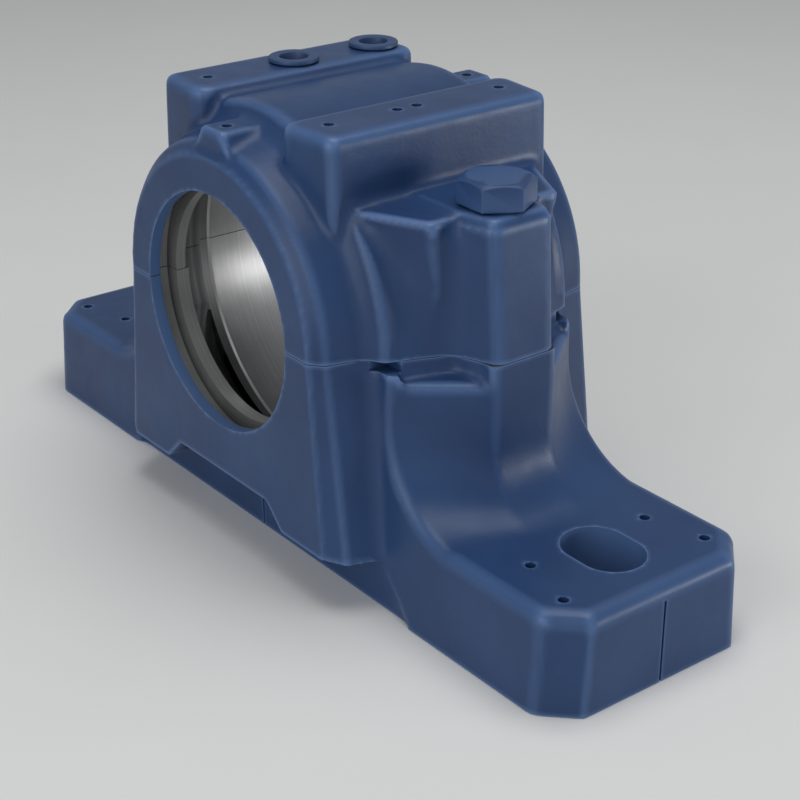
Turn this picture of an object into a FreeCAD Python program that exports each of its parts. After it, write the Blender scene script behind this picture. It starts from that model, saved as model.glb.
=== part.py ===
"""Split plummer block: an empty two-part bearing housing for a 50 mm shaft.

Frame: origin at the centre of the base's underside, X along the feet, Y along
the shaft, Z up. All lengths are millimetres. The housing is symmetric about
the XZ and YZ planes apart from the lubrication plugs, marks and dowels.
"""
import FreeCAD
import Part
import math
import os
import re

import Sketcher

Vector = FreeCAD.Vector

# Slack for telling the points of an edge from a plane
SLACK = 0.1

# Driving dimensions, each written once
SIZES = {
    # Cuts run past the faces that they leave, and blind holes are a little too deep
    "run_out": 1.0,
    "hole_spare": 0.5,
    # Feet and attachment slots
    "base_length": 255.0,
    "base_width": 70.0,
    "foot_height": 28.0,
    "corner_cut": 9.0,
    "foot_edge_round": 4.5,
    "slot_edge": 22.5,
    "slot_length": 24.0,
    "slot_width": 18.0,
    # Body of the base between the feet
    "axis_height": 70.0,
    "waist_length": 114.0,
    "waist_width": 62.0,
    "flank_radius": 32.0,
    "toe_sink": 0.4,
    "flank_edge_round": 3.5,
    # Column under each collar
    "column_bottom": 15.0,
    "column_face_width": 97.0,
    "column_edge_width": 110.0,
    "column_root_width": 116.0,
    "column_low_round": 6.0,
    "column_high_round": 3.0,
    "column_sink": 0.5,
    "column_spread": 2.0,
    "arch_height": 6.7,
    "arch_top_width": 44.0,
    "arch_slant": 8.0,
    "arch_start": 34.0,
    "apron_relief": 1.6,
    "apron_relief_width": 112.0,
    "apron_relief_spread": 13.5,
    # Bearing body and its two collars
    "body_radius": 55.3,
    "body_width": 64.0,
    "body_edge_round": 3.0,
    "housing_width": 94.0,
    "collar_face_radius": 43.4,
    "collar_edge_radius": 47.0,
    "collar_root_radius": 49.3,
    "collar_root_width": 68.6,
    "collar_chamfer": 3.3,
    # Machined inside, widths measured along the shaft
    "shaft_opening": 66.8,
    "seal_groove_diameter": 76.0,
    "seal_groove_start": 76.8,
    "seal_groove_end": 87.4,
    "seal_wall_start": 68.8,
    "cap_wall_step": 1.0,
    "cavity_diameter": 94.0,
    "cavity_throat": 84.0,
    "cavity_width": 56.0,
    "seat_diameter": 100.0,
    "seat_width": 33.5,
    "seat_relief": 0.5,
    "relief_width": 44.0,
    # Grease sump on both sides of the seat
    "sump_radius": 44.0,
    "sump_drop": 13.0,
    "sump_width": 8.0,
    # Shoulders of the cap
    "shoulder_height": 55.8,
    "shoulder_inner": 18.5,
    "shoulder_outer": 39.4,
    "shoulder_taper": 2.2,
    "shoulder_length": 75.6,
    "shoulder_corner": 4.5,
    "shoulder_slant": 2.0,
    "shoulder_edge": 2.6,
    # Wing and boss for the cap bolt, heights above the parting plane
    "wing_height": 37.0,
    "wing_root": 30.0,
    "wing_low_corner": 55.2,
    "wing_low_front": 30.0,
    "wing_low_middle": 58.4,
    "wing_low_side": 20.3,
    "wing_low_hollow": 61.2,
    "wing_low_neck": 13.7,
    "wing_high_corner": 42.4,
    "wing_high_front": 26.0,
    "wing_high_middle": 58.3,
    "wing_high_side": 19.2,
    "wing_high_hollow": 60.2,
    "wing_high_neck": 13.3,
    "wing_round": 5.0,
    "wing_edge": 1.8,
    "wing_edge_run": 1.3,
    "boss_low_reach": 74.0,
    "boss_low_width": 18.6,
    "boss_high_reach": 71.5,
    "boss_high_width": 19.4,
    "boss_edge_round": 3.0,
    "boss_rise": 0.8,
    "boss_pad_inset": 1.5,
    # Boss of the base under the cap's boss
    "base_boss_width": 19.0,
    "base_boss_round": 3.5,
    "boss_sweep_radius": 18.0,
    "scoop_depth": 5.0,
    "scoop_front": 28.4,
    "scoop_rim_round": 2.5,
    "scoop_end": 4.4,
    "scoop_end_gap": 1.3,
    # Pry slots at the parting plane
    "pry_height": 3.0,
    "pry_start": 26.3,
    "pry_inner": 50.5,
    # Top pads of the collars
    "pad_height": 51.0,
    "pad_width": 9.6,
    "pad_flare": 4.0,
    "pad_start": 91.4,
    # Cap bolts
    "bolt_spacing": 121.6,
    "bolt_diameter": 12.0,
    "bolt_length": 60.0,
    "shank_chamfer": 1.0,
    "bolt_flats": 18.0,
    "head_height": 7.5,
    "crown_diameter": 17.1,
    "washer_face_diameter": 16.6,
    "washer_face_height": 0.6,
    "bolt_turn": -1.0,
    "bolt_hole_diameter": 13.5,
    "thread_clearance": 0.05,
    "tapped_depth": 28.0,
    # Locating dowels
    "dowel_diameter": 5.0,
    "dowel_length": 16.0,
    "dowel_chamfer": 0.5,
    "dowel_offset": 52.6,
    "dowel_side": 24.0,
    "dowel_clearance": 0.02,
    # Lubrication plugs
    "plug_offset": 27.5,
    "plug_side": 28.0,
    "plug_flange_diameter": 14.5,
    "plug_flange_height": 1.3,
    "plug_neck_height": 0.3,
    "plug_neck_diameter": 12.0,
    "plug_shank_diameter": 9.7,
    "plug_shank_length": 8.0,
    "plug_recess_diameter": 8.2,
    "plug_recess_depth": 6.0,
    "plug_edge": 0.4,
    "plug_tip": 0.7,
    "plug_clearance": 0.05,
    "oil_hole_diameter": 5.0,
    # Drill marks and centre lines; insets are from the foot's end, rows from the X axis
    "mark_diameter": 2.8,
    "mark_depth": 1.5,
    "foot_mark_inset": 27.7,
    "foot_mark_row": 19.9,
    "corner_mark_inset": 10.7,
    "corner_mark_row": 24.4,
    "shoulder_mark_offset": 28.3,
    "shoulder_mark_row": 28.1,
    "shoulder_mark_middle": 6.4,
    "pad_mark_row": 40.5,
    "centre_line_width": 0.8,
    "centre_line_depth": 0.8,
    # Hollows of the underside
    "hollow_start": 47.0,
    "hollow_end": 84.0,
    "hollow_width": 52.0,
    "hollow_low": 13.0,
    "hollow_high": 32.0,
    "hollow_crest": 13.0,
    "hollow_round": 4.0,
    "belly_depth": 6.0,
    "rib_width": 8.0,
}

doc = FreeCAD.newDocument("plummer_block")
sheet = doc.addObject("Spreadsheet::Sheet", "Sizes")
for row, (alias, number) in enumerate(SIZES.items(), start=1):
    sheet.set(f"A{row}", alias.replace("_", " "))
    sheet.set(f"B{row}", str(number))
    sheet.setAlias(f"B{row}", alias)
slate = doc.addObject("Spreadsheet::Sheet", "Slate")
doc.recompute()


def bound(formula):
    """Point every size named in a formula at its cell of the sheet."""
    def cell(match):
        return "Sizes." + match[0] if match[0] in SIZES else match[0]
    return re.sub(r"[a-z_]+", cell, str(formula))


def value(formula):
    """Work out a formula on a spare sheet, so that the sizes stay untouched."""
    slate.set("A1", "=" + bound(formula))
    slate.recompute()
    return float(slate.get("A1"))


def bind(obj, **formulas):
    """Tie properties of an object to formulas of the sheet."""
    for name, formula in formulas.items():
        obj.setExpression(name, bound(formula))


def new_body(label):
    """A named sub-part."""
    body = doc.addObject("PartDesign::Body", label)
    body.Label = label
    return body


def origin_feature(body, role):
    """One of the body's own planes or axes."""
    return next(f for f in body.Origin.OriginFeatures if f.Role == role)


def new_sketch(body, name, role, lift="0"):
    """A sketch on one of the body's planes, moved along its normal."""
    sketch = body.newObject("Sketcher::SketchObject", name)
    sketch.AttachmentSupport = [(origin_feature(body, role), "")]
    sketch.MapMode = "FlatFace"
    sketch.setExpression("AttachmentOffset.Base.z", bound(lift))
    return sketch


def place(sketch, geometry, position, x, y):
    """Hold one point of the sketch at formulas for its x and y."""
    for kind, formula in (("DistanceX", x), ("DistanceY", y)):
        index = sketch.addConstraint(
            Sketcher.Constraint(kind, -1, 1, geometry, position, value(formula)))
        sketch.setExpression(f"Constraints[{index}]", bound(formula))


def arc_between(start, end, radius):
    """Arc of the shorter way round; a positive radius bows to the right."""
    chord = end - start
    reach = abs(radius)
    rise = math.sqrt(max(reach ** 2 - chord.Length ** 2 / 4, 0))
    side = Vector(chord.y, -chord.x, 0).normalize()
    middle = start + chord / 2 + side * math.copysign(reach - rise, radius)
    return Part.Arc(start, middle, end)


def outline(sketch, corners, rounds=()):
    """A closed outline; a third entry of a corner bends the edge after it.

    Each entry of rounds is the number of a corner and the radius that rounds it.
    """
    points = [Vector(value(c[0]), value(c[1]), 0) for c in corners]
    ends = []
    for index, corner in enumerate(corners):
        start, end = points[index], points[(index + 1) % len(points)]
        if len(corner) == 2:
            number = sketch.addGeometry(Part.LineSegment(start, end))
            ends.append((number, 1, 2))
            continue
        number = sketch.addGeometry(arc_between(start, end, value(corner[2])))
        forward = sketch.getPoint(number, 1).distanceToPoint(start) < 1e-6
        ends.append((number, 1, 2) if forward else (number, 2, 1))
    for index, (number, first, last) in enumerate(ends):
        following, follow_first, _ = ends[(index + 1) % len(ends)]
        sketch.addConstraint(
            Sketcher.Constraint("Coincident", number, last, following, follow_first))
        place(sketch, number, first, corners[index][0], corners[index][1])
        if len(corners[index]) == 3:
            radius = corners[index][2].lstrip("-")
            hold_radius(sketch, number, radius)
    for index, radius in rounds:
        number, first, _ = ends[index]
        sketch.fillet(number, first, value(radius), True, True)
        hold_radius(sketch, sketch.GeometryCount - 2, radius)


def hold_radius(sketch, number, radius):
    """Hold an arc of the sketch at a formula for its radius."""
    index = sketch.addConstraint(Sketcher.Constraint("Radius", number, value(radius)))
    sketch.setExpression(f"Constraints[{index}]", bound(radius))


def circle(sketch, x, y, diameter):
    """A circle held by its centre and diameter."""
    centre = Vector(value(x), value(y), 0)
    number = sketch.addGeometry(Part.Circle(centre, Vector(0, 0, 1), value(diameter) / 2))
    place(sketch, number, 3, x, y)
    size = sketch.addConstraint(Sketcher.Constraint("Diameter", number, value(diameter)))
    sketch.setExpression(f"Constraints[{size}]", bound(diameter))


def rectangle(sketch, left, right, bottom, top):
    """A rectangle held by its four sides."""
    outline(sketch, [(left, bottom), (right, bottom), (right, top), (left, top)])


def feature(body, kind, name, sketch, **settings):
    """A sketched feature of a body, as its new tip."""
    made = body.newObject("PartDesign::" + kind, name)
    made.Profile = sketch
    sketch.Visibility = False
    for key, setting in settings.items():
        setattr(made, key, setting)
    return made


def mirrored(corners, side):
    """The same outline on the +X side (1) or the -X side (-1)."""
    if side == 1:
        return corners
    flipped = []
    for corner in corners:
        bend = [c[1:] if c.startswith("-") else "-" + c for c in corner[2:]]
        flipped.append((f"-({corner[0]})", corner[1], *bend))
    return flipped


def both_ways(half):
    """Close an outline that is drawn from -Y to the X axis and is mirrored in Y."""
    return half + [(x, f"-({y})") for x, y in reversed(half)]


def picked(base, wanted):
    """Names of the edges of a feature that pass a test on both ends and the middle."""
    names = []
    for number, edge in enumerate(base.Shape.Edges, start=1):
        middle = edge.valueAt((edge.FirstParameter + edge.LastParameter) / 2)
        points = [vertex.Point for vertex in edge.Vertexes] + [middle]
        if all(wanted(point) for point in points):
            names.append(f"Edge{number}")
    return names


def dress(body, kind, name, size, wanted):
    """Round or chamfer the picked edges of the body so far."""
    doc.recompute()
    base = body.Tip
    made = body.newObject("PartDesign::" + kind, name)
    made.Base = (base, picked(base, wanted))
    bind(made, **{"Radius" if kind == "Fillet" else "Size": size})
    doc.recompute()
    return made


def near(first, second):
    """Whether two lengths are the same within the slack."""
    return abs(first - second) < SLACK


def bore(body, lift, wall_step):
    """Turn the shaft opening, seal grooves, cavity and bearing seat."""
    sketch = new_sketch(body, "BoreProfile", "YZ_Plane")
    sketch.setExpression("AttachmentOffset.Base.y", bound(lift))
    half = [
        ("housing_width / 2 + run_out", "0"),
        ("housing_width / 2 + run_out", "shaft_opening / 2"),
        ("seal_groove_end / 2", "shaft_opening / 2"),
        ("seal_groove_end / 2", "seal_groove_diameter / 2"),
        ("seal_groove_start / 2", "seal_groove_diameter / 2"),
        ("seal_groove_start / 2", "shaft_opening / 2"),
        (f"seal_wall_start / 2 + {wall_step}", "shaft_opening / 2"),
        (f"seal_wall_start / 2 + {wall_step}", "cavity_throat / 2"),
        ("cavity_width / 2", "cavity_diameter / 2"),
        ("relief_width / 2", "cavity_diameter / 2"),
        ("relief_width / 2", "seat_diameter / 2 + seat_relief"),
        ("seat_width / 2", "seat_diameter / 2 + seat_relief"),
        ("seat_width / 2", "seat_diameter / 2"),
    ]
    outline(sketch, half + [(f"-({y})", radius) for y, radius in reversed(half)])
    feature(body, "Groove", "Bore", sketch, ReferenceAxis=(sketch, ["H_Axis"]), Angle=360)


def drill(body, name, height, depth, circles, upward=False):
    """Drill round holes from a level plane, down unless told otherwise."""
    sketch = new_sketch(body, name + "Places", "XY_Plane", height)
    for x, y, diameter in circles:
        circle(sketch, x, y, diameter)
    made = feature(body, "Pocket", name, sketch, Reversed=upward)
    bind(made, Length=depth)


def flanks(body):
    """Body of the base, ruled from the swept ridges to the bolt bosses and back."""
    lean = "(boss_low_reach - waist_length / 2) / (waist_width - base_boss_width)"
    ridge = f"(waist_length / 2 - {lean} * (base_width - waist_width))"
    sketches = []
    for name, lift, reach, radius in (
            ("RidgeFront", "base_width / 2", ridge, "flank_radius"),
            ("BossFront", "base_boss_width / 2", "boss_low_reach", "boss_sweep_radius"),
            ("BossRear", "-base_boss_width / 2", "boss_low_reach", "boss_sweep_radius"),
            ("RidgeRear", "-base_width / 2", ridge, "flank_radius")):
        sketch = new_sketch(body, name, "XZ_Plane", lift)
        toe = f"({reach} + {radius} - sqrt(toe_sink * (2 * {radius} - toe_sink)))"
        outline(sketch, [
            (toe, "foot_height / 2"),
            (toe, "foot_height", "-" + radius),
            (reach, f"foot_height + {radius} - toe_sink"),
            (reach, "axis_height"),
            (f"-{reach}", "axis_height"),
            (f"-{reach}", f"foot_height + {radius} - toe_sink", "-" + radius),
            (f"-{toe}", "foot_height"),
            (f"-{toe}", "foot_height / 2"),
        ])
        sketches.append(sketch)
    loft = feature(body, "AdditiveLoft", "Flanks", sketches[0], Ruled=True)
    loft.Sections = sketches[1:]


def base_block(body):
    """Feet joined to the flanks, with drafted sides and rounded rims."""
    flanks(body)
    sketch = new_sketch(body, "FootPlan", "XY_Plane")
    rectangle(sketch, "-base_length / 2", "base_length / 2", "-base_width / 2", "base_width / 2")
    bind(feature(body, "Pad", "Feet", sketch), Length="foot_height")
    sketch = new_sketch(body, "DraftWedges", "YZ_Plane")
    for hand in ("", "-"):
        outline(sketch, [
            (f"{hand}(base_width / 2)", "0"),
            (f"{hand}(base_width)", "0"),
            (f"{hand}(base_width)", "axis_height"),
            (f"{hand}(waist_width / 2)", "axis_height"),
        ])
    cut = feature(body, "Pocket", "Draft", sketch, SideType="Symmetric")
    bind(cut, Length="base_length")
    end, top = value("base_length / 2"), value("foot_height")
    boss = value("base_boss_width / 2")
    dress(body, "Chamfer", "FootCorners", "corner_cut",
          lambda p: near(abs(p.x), end) and abs(p.y) > boss)
    corner = value("base_length / 2 - corner_cut")
    side = value("waist_width / 2")
    dress(body, "Fillet", "Ridges", "flank_edge_round",
          lambda p: abs(p.y) > side - SLACK and p.z > top - SLACK and abs(p.x) < corner + SLACK)
    dress(body, "Fillet", "FootRims", "foot_edge_round",
          lambda p: near(p.z, top) and abs(p.x) > corner - SLACK)
    reach = value("boss_low_reach")
    dress(body, "Fillet", "BossEdges", "base_boss_round",
          lambda p: abs(p.x) > reach - SLACK and near(abs(p.y), boss) and p.z > top - SLACK)


def columns(body):
    """Straight flaring columns that carry the collars down to the feet."""
    low = [
        ("column_face_width / 2", "housing_width / 2"),
        ("column_edge_width / 2", "housing_width / 2 - collar_chamfer"),
        ("column_root_width / 2", "base_width / 2 - column_sink"),
        ("column_root_width / 2 + column_spread", "base_width / 2 - 4 * column_sink"),
        ("column_root_width / 2 + column_spread", "base_width / 3"),
    ]
    high = [
        ("collar_face_radius", "housing_width / 2"),
        ("collar_edge_radius", "housing_width / 2 - collar_chamfer"),
        ("collar_root_radius", "body_width / 2 + 2 * column_sink"),
        ("waist_length / 2 - flank_edge_round", "waist_width / 2 - column_sink"),
        ("waist_length / 2 - flank_edge_round", "base_width / 3"),
    ]
    for side, name in (("", "Rear"), ("-", "Front")):
        sketches = []
        for level, points, lift in (("Low", low, "column_bottom"), ("High", high, "axis_height")):
            sketch = new_sketch(body, f"Column{name}{level}", "XY_Plane", lift)
            right = [(x, f"{side}({y})") for x, y in points]
            radius = f"column_{level.lower()}_round"
            outline(sketch, right + [(f"-({x})", y) for x, y in reversed(right)],
                    [(2, radius), (2 * len(right) - 3, radius)])
            sketches.append(sketch)
        loft = feature(body, "AdditiveLoft", "Column" + name, sketches[0], Ruled=True)
        loft.Sections = sketches[1:]


def build_base():
    """The base casting with its machined places."""
    body = new_body("base_casting")
    base_block(body)
    columns(body)
    bore(body, "axis_height", "0")
    sump(body)
    scoops(body)
    pry_slots(body)
    aprons(body)
    undersides(body)
    drill(body, "TappedHoles", "axis_height", "tapped_depth", [
        (f"{side}(bolt_spacing / 2)", "0", "bolt_diameter + 2 * thread_clearance")
        for side in ("", "-")])
    drill(body, "DowelHoles", "axis_height", "dowel_length / 2 + hole_spare", dowel_holes())
    foot_slots(body)
    foot_marks(body)
    return body


def dowel_holes():
    """The two dowels stand on one diagonal of the parting plane."""
    size = "dowel_diameter + 2 * dowel_clearance"
    return [("dowel_offset", "-dowel_side", size), ("-dowel_offset", "dowel_side", size)]


def sump(body):
    """Grease sump on both sides of the seat, lower than the bearing."""
    for name, lift in (("Front", "relief_width / 2"), ("Rear", "-relief_width / 2")):
        sketch = new_sketch(body, "SumpPlan" + name, "XZ_Plane", lift)
        circle(sketch, "0", "axis_height - sump_drop", "2 * sump_radius")
        cut = feature(body, "Pocket", "Sump" + name, sketch, Reversed=name == "Front")
        bind(cut, Length="sump_width")


def four_ways(sketch, corners):
    """The same outline in all four quarters of a plan, drawn for +X and +Y."""
    for side in (1, -1):
        for hand in ("", "-"):
            outline(sketch, mirrored([(x, f"{hand}({y})") for x, y in corners], side))


def scoops(body):
    """Ledges that are sunk beside the cap's hollow flanks, two on each side."""
    sketch = new_sketch(body, "ScoopPlan", "XY_Plane", "axis_height")
    four_ways(sketch, [
        ("wing_low_corner", "scoop_front"),
        ("wing_low_middle", "wing_low_side"),
        ("wing_low_hollow", "wing_low_neck"),
        ("boss_low_reach - scoop_end", "base_boss_width / 2 + scoop_end_gap"),
        ("boss_low_reach + flank_radius", "base_boss_width / 2 + scoop_end_gap"),
        ("boss_low_reach + flank_radius", "scoop_front"),
    ])
    cut = feature(body, "Pocket", "Scoops", sketch)
    bind(cut, Length="scoop_depth")
    floor = value("axis_height - scoop_depth")
    dress(body, "Fillet", "ScoopRims", "scoop_rim_round",
          lambda p: near(p.z, floor) and on_flank(p))


def on_flank(point):
    """Whether a point stands on the ruled side above its sweep."""
    reach, ridge = value("boss_low_reach"), value("waist_length / 2")
    lean = (reach - ridge) / value("(waist_width - base_boss_width) / 2")
    edge = ridge + lean * (value("waist_width / 2") - abs(point.y))
    return near(abs(point.x), edge)


def pry_slots(body):
    """Slots at the parting plane where a bar lifts the cap."""
    sketch = new_sketch(body, "PryPlan", "XY_Plane", "axis_height")
    four_ways(sketch, [
        ("pry_inner", "pry_start"),
        ("boss_low_reach", "pry_start"),
        ("boss_low_reach", "base_width"),
        ("pry_inner", "base_width"),
    ])
    cut = feature(body, "Pocket", "PrySlots", sketch)
    bind(cut, Length="pry_height")


def aprons(body):
    """Arch under each collar column and the relief of the face below it."""
    for name, hand in (("Rear", "-"), ("Front", "")):
        sketch = new_sketch(body, f"Arch{name}Elevation", "XZ_Plane", hand + "arch_start")
        outline(sketch, [
            ("-(arch_top_width / 2 + arch_slant)", "column_bottom - run_out"),
            ("arch_top_width / 2 + arch_slant", "column_bottom - run_out"),
            ("arch_top_width / 2", "column_bottom + arch_height"),
            ("-arch_top_width / 2", "column_bottom + arch_height"),
        ])
        cut = feature(body, "Pocket", "Arch" + name, sketch, Reversed=name == "Front")
        bind(cut, Length="housing_width")
        sketch = new_sketch(body, f"Relief{name}Elevation", "XZ_Plane",
                            f"{hand}(base_width / 2 - apron_relief)")
        outline(sketch, [
            ("-(apron_relief_width / 2 + apron_relief_spread)", "0"),
            ("apron_relief_width / 2 + apron_relief_spread", "0"),
            ("apron_relief_width / 2", "column_bottom"),
            ("-apron_relief_width / 2", "column_bottom"),
        ])
        cut = feature(body, "Pocket", "Relief" + name, sketch, Reversed=name == "Front")
        bind(cut, Length="housing_width")


def undersides(body):
    """Cast hollows that open downwards between the feet and the bearing."""
    sketch = new_sketch(body, "HollowElevation", "XZ_Plane")
    for side in (1, -1):
        outline(sketch, mirrored([
            ("hollow_start", "-run_out"),
            ("hollow_end", "-run_out"),
            ("hollow_end", "hollow_low"),
            ("hollow_start + hollow_crest", "hollow_high"),
            ("hollow_start", "hollow_high"),
        ], side), [(number, "hollow_round") for number in (2, 3, 4)])
    cut = feature(body, "Pocket", "Hollows", sketch, SideType="Symmetric")
    bind(cut, Length="hollow_width")
    sketch = new_sketch(body, "BellyPlan", "XY_Plane")
    side = "hollow_start - rib_width"
    rectangle(sketch, f"-({side})", side, "-hollow_width / 2", "hollow_width / 2")
    cut = feature(body, "Pocket", "Belly", sketch, Reversed=True)
    bind(cut, Length="belly_depth")


def foot_slots(body):
    """Attachment slots that run along the feet."""
    sketch = new_sketch(body, "SlotPlan", "XY_Plane", "foot_height + run_out")
    for side in (1, -1):
        centre = "base_length / 2 - slot_edge"
        reach = "(slot_length - slot_width) / 2"
        outline(sketch, mirrored([
            (f"{centre} - {reach}", "-slot_width / 2"),
            (f"{centre} + {reach}", "-slot_width / 2", "slot_width / 2"),
            (f"{centre} + slot_length / 2", "0", "slot_width / 2"),
            (f"{centre} + {reach}", "slot_width / 2"),
            (f"{centre} - {reach}", "slot_width / 2", "slot_width / 2"),
            (f"{centre} - slot_length / 2", "0", "slot_width / 2"),
        ], side))
    cut = feature(body, "Pocket", "Slots", sketch)
    bind(cut, Length="foot_height + 2 * run_out")


def foot_marks(body):
    """Drill marks on the feet and centre lines on all four sides."""
    drill(body, "FootMarks", "foot_height", "mark_depth", [
        (f"{sx}(base_length / 2 - {place}_inset)", f"{sy}{place}_row", "mark_diameter")
        for sx in ("", "-") for sy in ("", "-") for place in ("foot_mark", "corner_mark")])
    half = "centre_line_width / 2"
    face = "(base_width / 2 - apron_relief - centre_line_depth)"
    end = "(base_length / 2 - centre_line_depth)"
    for name, height in (("Side", "column_bottom + arch_height / 2"),
                         ("End", "foot_height - foot_edge_round")):
        sketch = new_sketch(body, name + "LinePlan", "XY_Plane")
        for hand in ("", "-"):
            if name == "Side":
                outline(sketch, [
                    (f"-{half}", hand + face), (half, hand + face),
                    (half, f"{hand}(base_width)"), (f"-{half}", f"{hand}(base_width)")])
            else:
                outline(sketch, [
                    (hand + end, f"-{half}"), (f"{hand}(base_length)", f"-{half}"),
                    (f"{hand}(base_length)", half), (hand + end, half)])
        cut = feature(body, "Pocket", name + "Lines", sketch, Reversed=True)
        bind(cut, Length=height)


def build_cap():
    """The cap casting, drawn from the shaft axis upwards."""
    body = new_body("cap_casting")
    wings(body)
    shoulders(body)
    bearing_body(body)
    collar_pads(body)
    bore(body, "0", "cap_wall_step")
    drill(body, "BoltHoles", "wing_height + boss_rise", "wing_height + boss_rise", [
        (f"{side}(bolt_spacing / 2)", "0", "bolt_hole_diameter") for side in ("", "-")])
    drill(body, "CapDowelHoles", "0", "dowel_length / 2 + hole_spare", dowel_holes(), upward=True)
    plugs = [("-plug_offset", "0"), ("-plug_offset", "plug_side")]
    drill(body, "PlugHoles", "shoulder_height", "plug_shank_length + hole_spare",
          [(x, y, "plug_shank_diameter + 2 * plug_clearance") for x, y in plugs])
    drill(body, "OilHoles", "shoulder_height", "shoulder_height - cavity_diameter / 4",
          [(x, y, "oil_hole_diameter") for x, y in plugs])
    drill(body, "ShoulderMarks", "shoulder_height", "mark_depth",
          [(side + "shoulder_mark_offset", y, "mark_diameter") for side, y in (
              ("", "-shoulder_mark_row"), ("", "-shoulder_mark_middle"), ("", "0"),
              ("", "shoulder_mark_row"), ("-", "-shoulder_mark_row"))])
    drill(body, "PadMarks", "pad_height", "mark_depth",
          [("0", side + "pad_mark_row", "mark_diameter") for side in ("", "-")])
    bind(body, **{"Placement.Base.z": "axis_height"})
    return body


def wings(body):
    """Wings that carry the cap's bolt bosses, lofted from the parting plane up."""
    low = [
        ("wing_root", "-wing_low_front"),
        ("wing_low_corner", "-wing_low_front"),
        ("wing_low_middle", "-wing_low_side"),
        ("wing_low_hollow", "-wing_low_neck"),
        ("boss_low_reach", "-boss_low_width / 2"),
    ]
    high = [
        ("wing_root", "-wing_high_front"),
        ("wing_high_corner", "-wing_high_front"),
        ("wing_high_middle", "-wing_high_side"),
        ("wing_high_hollow", "-wing_high_neck"),
        ("boss_high_reach", "-boss_high_width / 2"),
    ]
    top = [high[0]] + [(f"{x} - wing_edge_run", f"{y} + wing_edge_run") for x, y in high[1:]]
    last = 2 * len(low) - 1
    softened = ((2, "wing_round"), (3, "wing_round"), (4, "boss_edge_round"))
    rounds = [(number, radius) for corner, radius in softened for number in (corner, last - corner)]
    for side, name in ((1, "Right"), (-1, "Left")):
        sketches = []
        for level, points, lift in (("Low", low, "0"), ("High", high, "wing_height - wing_edge"),
                                    ("Top", top, "wing_height")):
            sketch = new_sketch(body, f"Wing{name}{level}", "XY_Plane", lift)
            outline(sketch, mirrored(both_ways(points), side), rounds)
            sketches.append(sketch)
        loft = feature(body, "AdditiveLoft", "Wing" + name, sketches[0], Ruled=True)
        loft.Sections = sketches[1:]
    sketch = new_sketch(body, "BossPadPlan", "XY_Plane", "wing_height")
    for side in (1, -1):
        outline(sketch, mirrored(both_ways([
            ("wing_high_corner", "-(wing_high_neck - boss_pad_inset)"),
            ("wing_high_hollow", "-(wing_high_neck - boss_pad_inset)"),
            ("boss_high_reach - boss_pad_inset", "-(boss_high_width / 2 - boss_pad_inset / 2)"),
        ]), side))
    bind(feature(body, "Pad", "BossPads", sketch), Length="boss_rise")


def shoulders(body):
    """Flat-topped shoulders along both sides of the crown, drafted on the outside."""
    end_side = "shoulder_length / 2 - shoulder_slant"
    for side, name in ((1, "Right"), (-1, "Left")):
        sketches = []
        for level, lift, outer in (("Low", "0", "shoulder_outer + shoulder_taper"),
                                   ("High", "shoulder_height", "shoulder_outer")):
            sketch = new_sketch(body, f"Shoulder{name}{level}", "XY_Plane", lift)
            outline(sketch, mirrored([
                ("shoulder_inner", "-shoulder_length / 2"),
                (outer, f"-({end_side})"),
                (outer, end_side),
                ("shoulder_inner", "shoulder_length / 2"),
            ], side), [(0, "shoulder_corner"), (3, "shoulder_corner"),
                       (1, "shoulder_edge"), (2, "shoulder_edge")])
            sketches.append(sketch)
        loft = feature(body, "AdditiveLoft", "Shoulder" + name, sketches[0], Ruled=True)
        loft.Sections = sketches[1:]
    top = value("shoulder_height")
    dress(body, "Fillet", "ShoulderEdges", "shoulder_edge", lambda p: near(p.z, top))


def bearing_body(body):
    """Half-round bearing body and the two collars, turned about the shaft axis."""
    sketch = new_sketch(body, "RingProfile", "YZ_Plane")
    half = [
        ("housing_width / 2", "0"),
        ("housing_width / 2", "collar_face_radius"),
        ("housing_width / 2 - collar_chamfer", "collar_edge_radius"),
        ("collar_root_width / 2", "collar_root_radius"),
        ("body_width / 2", "body_radius - body_edge_round"),
        ("body_width / 2 - body_edge_round", "body_radius"),
    ]
    rear = [(f"-({y})", radius) for y, radius in reversed(half)]
    half[4] = (*half[4], "body_edge_round")
    rear[0] = (*rear[0], "body_edge_round")
    outline(sketch, half + rear)
    feature(body, "Revolution", "Ring", sketch, ReferenceAxis=(sketch, ["H_Axis"]),
            Midplane=True, Angle=180)


def collar_pads(body):
    """Flat pads on top of the collars, with flared flanks."""
    sketch = new_sketch(body, "PadElevation", "XZ_Plane")
    outline(sketch, [
        ("-(pad_width / 2 + pad_flare)", "collar_face_radius"),
        ("pad_width / 2 + pad_flare", "collar_face_radius"),
        ("pad_width / 2", "pad_height"),
        ("-pad_width / 2", "pad_height"),
    ])
    pad = feature(body, "Pad", "CollarPads", sketch, SideType="Symmetric")
    bind(pad, Length="pad_start")


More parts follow.
